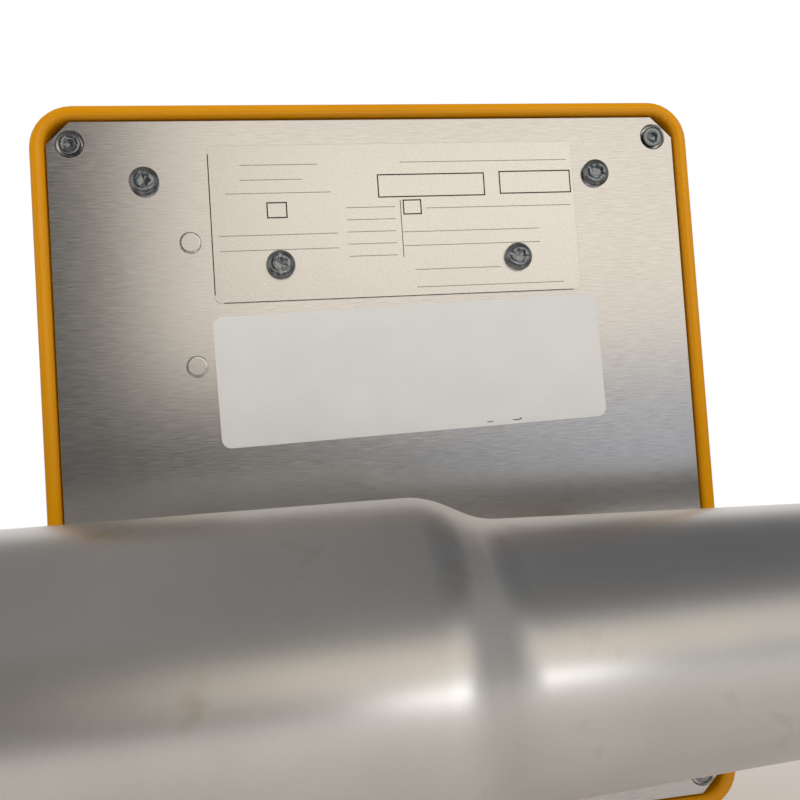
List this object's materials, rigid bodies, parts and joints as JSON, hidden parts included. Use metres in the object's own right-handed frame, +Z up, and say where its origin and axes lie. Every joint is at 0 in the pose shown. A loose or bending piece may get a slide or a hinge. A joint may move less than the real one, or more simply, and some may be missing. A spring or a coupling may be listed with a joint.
{
  "type": "variable area flow meter",
  "caption": "Flanged metal-tube flow meter: a conical tube with a sprung float, and a magnet-driven pointer indicator in a yellow cast housing closed by a brushed back plate.",
  "frame": {"origin": "centre of the inlet flange's bolt circle, on the plane where the bolts enter, 3 mm behind the raised sealing face", "axes": "+X along the flow to the outlet, +Z up, the dial faces -Y and the back plate faces +Y"},
  "size_m": [0.4, 0.229, 0.221],
  "materials": {
    "tube_steel": "satin stainless steel",
    "flange_steel": "turned stainless steel",
    "turned_steel": "turned stainless steel",
    "spring_steel": "drawn stainless wire",
    "magnet": "dark sintered magnet",
    "yellow_paint": "glossy yellow enamel on cast aluminium",
    "plate_aluminium": "straight-brushed aluminium",
    "foil": "satin foil",
    "white_film": "white self-adhesive film",
    "screw_zinc": "zinc-plated steel",
    "seal_rubber": "black rubber",
    "window_glass": "clear flat glass",
    "dial_white": "matt white dial with black scale",
    "pointer_black": "matt black",
    "brass": "turned brass",
    "arm_aluminium": "plain aluminium",
    "black_plastic": "black polyamide"
  },
  "bodies": {
    "meter": {"back_gasket": "seal_rubber", "back_plate": "plate_aluminium", "chassis": "screw_zinc", "chassis_screws": "screw_zinc", "clinch_stud_1": "plate_aluminium", "clinch_stud_2": "plate_aluminium", "corner_screw_1": "screw_zinc", "corner_screw_2": "screw_zinc", "corner_screw_3": "screw_zinc", "corner_screw_4": "screw_zinc", "damper_magnet": "magnet", "dial": "dial_white", "dial_post_1": "screw_zinc", "dial_post_2": "screw_zinc", "dial_post_3": "screw_zinc", "dial_post_4": "screw_zinc", "dial_post_screw_1": "screw_zinc", "dial_post_screw_2": "screw_zinc", "dial_post_screw_3": "screw_zinc", "dial_post_screw_4": "screw_zinc", "front_bearing": "brass", "gland_body": "black_plastic", "gland_cap": "black_plastic", "gland_locknut": "black_plastic", "gland_seal": "seal_rubber", "guide_rod": "turned_steel", "housing": "yellow_paint", "inlet_flange": "flange_steel", "inlet_guide": "turned_steel", "inlet_pillar": "tube_steel", "inlet_pillar_screw": "screw_zinc", "inlet_rod_nut": "turned_steel", "limit_detector": "black_plastic", "metering_tube": "tube_steel", "nameplate": "foil", "outlet_flange": "flange_steel", "outlet_guide": "turned_steel", "outlet_pillar": "tube_steel", "outlet_pillar_screw": "screw_zinc", "outlet_rod_nut": "turned_steel", "rear_bearing": "brass", "return_spring": "spring_steel", "stud_nut_1": "screw_zinc", "stud_nut_2": "screw_zinc", "tag_label": "white_film", "terminal_block": "black_plastic", "window_clamp": "screw_zinc", "window_gasket": "seal_rubber", "window_glass": "window_glass", "window_screws": "screw_zinc"},
    "float_assembly": {"float": "turned_steel", "float_magnet": "magnet", "float_cap": "turned_steel"},
    "pointer_assembly": {"pointer_shaft": "turned_steel", "pointer": "pointer_black", "follower_arm": "arm_aluminium", "follower_magnet": "magnet", "counterweight": "brass", "damper_disc": "plate_aluminium", "detector_vane": "arm_aluminium"}
  },
  "joints": [
    {"name": "float_slide", "type": "slide", "parent": "meter", "child": "float_assembly", "axis": [1, 0, 0], "range_m": [0, 0.046], "stiffness_N_per_m": 60, "springref_m": -0.02, "deforming": ["return_spring"]},
    {"name": "pointer_swing", "type": "hinge", "parent": "meter", "child": "pointer_assembly", "pos_m": [0.197, 0, -0.027], "axis": [0, 1, 0], "range_deg": [0, 80]}
  ],
  "couplings": [
    {"joint": "pointer_swing", "follows": "float_slide", "rad_per_m": 30.354}
  ]
}
